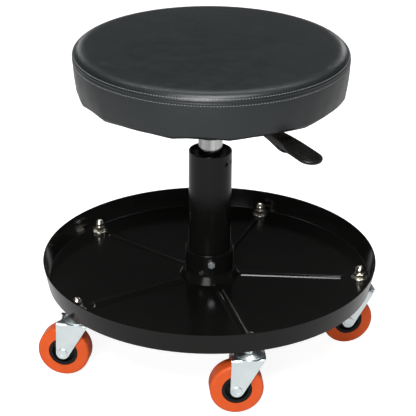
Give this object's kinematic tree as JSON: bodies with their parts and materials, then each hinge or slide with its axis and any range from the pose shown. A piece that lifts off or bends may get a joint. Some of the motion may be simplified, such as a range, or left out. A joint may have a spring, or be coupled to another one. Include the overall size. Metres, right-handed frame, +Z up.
{
  "type": "mechanic stool",
  "caption": "Low rolling workshop stool: round padded seat on a gas lift, over a round ribbed tool tray on swivel castors.",
  "frame": {"origin": "on the floor under the column's axis", "axes": "+Z up along the column; -Y towards the side that the picture shows; +X to its right"},
  "size_m": [0.3932, 0.3932, 0.369],
  "materials": {
    "black_enamel": "gloss",
    "black_steel": "satin",
    "zinc": "satin",
    "bright_nickel": "polished",
    "chrome": "polished",
    "bearing_steel": "polished",
    "brass": "satin",
    "aluminium": "satin",
    "black_plastic": "satin",
    "hub_plastic": "satin",
    "paddle_plastic": "satin",
    "black_rubber": "matte",
    "orange_tread": "satin",
    "plywood": "matte",
    "foam": "matte",
    "vinyl": "satin"
  },
  "bodies": {
    "base": {"tray": "black_enamel", "column_collar": "black_enamel", "column_tube": "black_enamel", "collar_screws": "zinc", "locating_screws": "bright_nickel", "guide_bush": "black_plastic", "castor_stems": "zinc", "castor_races": "zinc", "castor_balls": "bearing_steel", "castor_washers": "bright_nickel", "castor_nuts": "bright_nickel", "bearing_lower_race": "bearing_steel"},
    "cage": {"bearing_cage": "brass", "bearing_balls": "bearing_steel"},
    "rod": {"bearing_upper_race": "bearing_steel", "piston_rod": "chrome", "retaining_clip": "bearing_steel", "bump_stop": "black_rubber", "piston": "bearing_steel"},
    "seat": {"gas_cylinder": "chrome", "end_guide": "black_plastic", "valve_block": "aluminium", "seat_socket": "black_steel", "lever_housing": "black_steel", "lever_pivot": "zinc", "seat_plate": "black_steel", "plate_bolts": "zinc", "t_nuts": "zinc", "seat_board": "plywood", "seat_foam": "foam", "seat_cover": "vinyl"},
    "pin": {"release_pin": "zinc"},
    "lever": {"lever_rod": "black_steel", "lever_paddle": "paddle_plastic"},
    "castor_1": {"castor_1_fork": "zinc", "castor_1_axle": "zinc", "castor_1_sleeve": "bearing_steel"},
    "wheel_1": {"castor_1_hub": "hub_plastic", "castor_1_tread": "orange_tread"},
    "castor_2": {"castor_2_fork": "zinc", "castor_2_axle": "zinc", "castor_2_sleeve": "bearing_steel"},
    "wheel_2": {"castor_2_hub": "hub_plastic", "castor_2_tread": "orange_tread"},
    "castor_3": {"castor_3_fork": "zinc", "castor_3_axle": "zinc", "castor_3_sleeve": "bearing_steel"},
    "wheel_3": {"castor_3_hub": "hub_plastic", "castor_3_tread": "orange_tread"},
    "castor_4": {"castor_4_fork": "zinc", "castor_4_axle": "zinc", "castor_4_sleeve": "bearing_steel"},
    "wheel_4": {"castor_4_hub": "hub_plastic", "castor_4_tread": "orange_tread"},
    "castor_5": {"castor_5_fork": "zinc", "castor_5_axle": "zinc", "castor_5_sleeve": "bearing_steel"},
    "wheel_5": {"castor_5_hub": "hub_plastic", "castor_5_tread": "orange_tread"}
  },
  "joints": [
    {"name": "seat_swivel", "type": "hinge", "parent": "base", "child": "rod", "pos_m": [0, 0, 0.09525], "axis": [0, 0, 1], "continuous": true},
    {"name": "cage_roll", "type": "hinge", "parent": "base", "child": "cage", "pos_m": [0, 0, 0.09525], "axis": [0, 0, 1], "continuous": true},
    {"name": "seat_lift", "type": "slide", "parent": "rod", "child": "seat", "axis": [0, 0, 1], "range_m": [0, 0.1]},
    {"name": "lever_tilt", "type": "hinge", "parent": "seat", "child": "lever", "pos_m": [0.02155, -0.02758, 0.3026], "axis": [-0.788, -0.6157, 0], "range_deg": [0, 4.5], "stiffness_Nm_per_rad": 2, "springref_deg": -2.86},
    {"name": "pin_press", "type": "slide", "parent": "seat", "child": "pin", "axis": [0, 0, -1], "range_m": [0, 0.003]},
    {"name": "castor_1_swivel", "type": "hinge", "parent": "base", "child": "castor_1", "pos_m": [0.17832, -0.00997, 0.0685], "axis": [0, 0, 1], "continuous": true},
    {"name": "wheel_1_roll", "type": "hinge", "parent": "castor_1", "child": "wheel_1", "pos_m": [0.16364, -0.01306, 0.03], "axis": [0.2062, -0.9785, 0], "continuous": true},
    {"name": "castor_2_swivel", "type": "hinge", "parent": "base", "child": "castor_2", "pos_m": [0.06459, 0.16651, 0.0685], "axis": [0, 0, 1], "continuous": true},
    {"name": "wheel_2_roll", "type": "hinge", "parent": "castor_2", "child": "wheel_2", "pos_m": [0.0497, 0.16468, 0.03], "axis": [0.1219, -0.9925, 0], "continuous": true},
    {"name": "castor_3_swivel", "type": "hinge", "parent": "base", "child": "castor_3", "pos_m": [-0.13841, 0.11288, 0.0685], "axis": [0, 0, 1], "continuous": true},
    {"name": "wheel_3_roll", "type": "hinge", "parent": "castor_3", "child": "wheel_3", "pos_m": [-0.15332, 0.11445, 0.03], "axis": [-0.1045, -0.9945, 0], "continuous": true},
    {"name": "castor_4_swivel", "type": "hinge", "parent": "base", "child": "castor_4", "pos_m": [-0.15013, -0.09675, 0.0685], "axis": [0, 0, 1], "continuous": true},
    {"name": "wheel_4_roll", "type": "hinge", "parent": "castor_4", "child": "wheel_4", "pos_m": [-0.16491, -0.0942, 0.03], "axis": [-0.1702, -0.9854, 0], "continuous": true},
    {"name": "castor_5_swivel", "type": "hinge", "parent": "base", "child": "castor_5", "pos_m": [0.04562, -0.17267, 0.0685], "axis": [0, 0, 1], "continuous": true},
    {"name": "wheel_5_roll", "type": "hinge", "parent": "castor_5", "child": "wheel_5", "pos_m": [0.03068, -0.17401, 0.03], "axis": [0.0889, -0.996, 0], "continuous": true}
  ],
  "couplings": [
    {"joint": "cage_roll", "follows": "seat_swivel", "ratio": 0.5},
    {"joint": "pin_press", "follows": "lever_tilt", "m_per_rad": 0.038}
  ]
}
